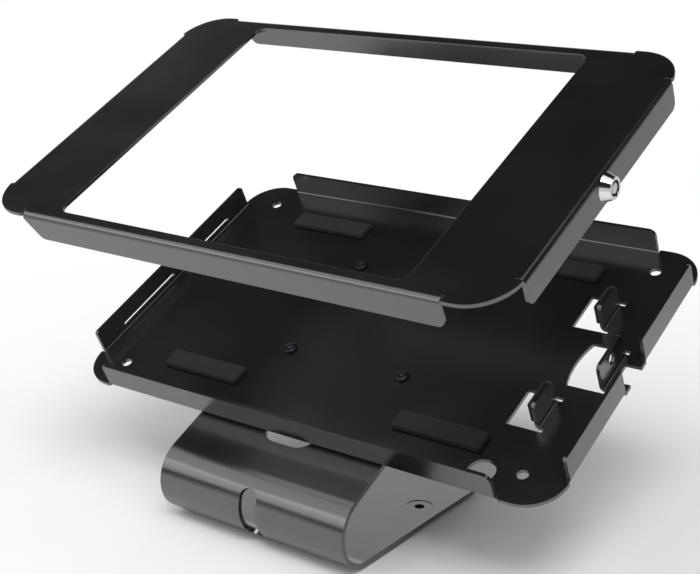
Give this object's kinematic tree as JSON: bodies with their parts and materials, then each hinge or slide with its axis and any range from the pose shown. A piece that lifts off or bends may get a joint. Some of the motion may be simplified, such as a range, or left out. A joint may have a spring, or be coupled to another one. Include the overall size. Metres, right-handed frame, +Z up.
{
  "type": "tablet security kiosk stand",
  "caption": "Bent steel counter stand with a folded tray for a tablet and a lift-off framed cover that locks with a round key.",
  "frame": {"origin": "on the counter, midway between the two screw holes of the base", "axes": "+Z up, +X along the tray towards the lock, +Y from the user to the back"},
  "size_m": [0.3175, 0.2286, 0.2488],
  "materials": {
    "powder_coat": "satin black powder coat",
    "rubber": "matte",
    "foam": "matte closed-cell foam",
    "black_zinc": "black zinc plated",
    "chrome": "polished",
    "bright_steel": "turned",
    "spring_steel": "plain",
    "brass": "turned"
  },
  "bodies": {
    "stand": {"stand_bracket": "powder_coat", "bracket_feet": "rubber", "tray": "powder_coat", "front_side_pad": "foam", "rear_side_pad": "foam", "front_floor_pads": "foam", "rear_floor_pads": "foam", "tray_screws": "black_zinc", "tray_washers": "black_zinc", "tray_nuts": "black_zinc"},
    "cover": {"front_cover": "powder_coat", "left_cover_foam": "foam", "right_cover_foam": "foam", "lock_housing": "chrome", "lock_clip": "spring_steel", "lock_end_cap": "brass"},
    "key_core": {"lock_core": "chrome", "lock_pins": "brass"},
    "bolt": {"lock_bolt": "bright_steel", "lock_spring": "spring_steel"}
  },
  "joints": [
    {"name": "cover_lift", "type": "slide", "parent": "stand", "child": "cover", "axis": [0, -0.4384, 0.8988], "range_m": [-0.108, 0]},
    {"name": "key_turn", "type": "hinge", "parent": "cover", "child": "key_core", "pos_m": [0.1565, -0.02189, 0.19892], "axis": [1, 0, 0], "range_deg": [-90, 0]},
    {"name": "bolt_throw", "type": "slide", "parent": "cover", "child": "bolt", "axis": [-1, 0, 0], "range_m": [0, 0.0051], "deforming": ["lock_spring"]}
  ],
  "couplings": [
    {"joint": "key_turn", "follows": "bolt_throw", "rad_per_m": -307.99}
  ]
}
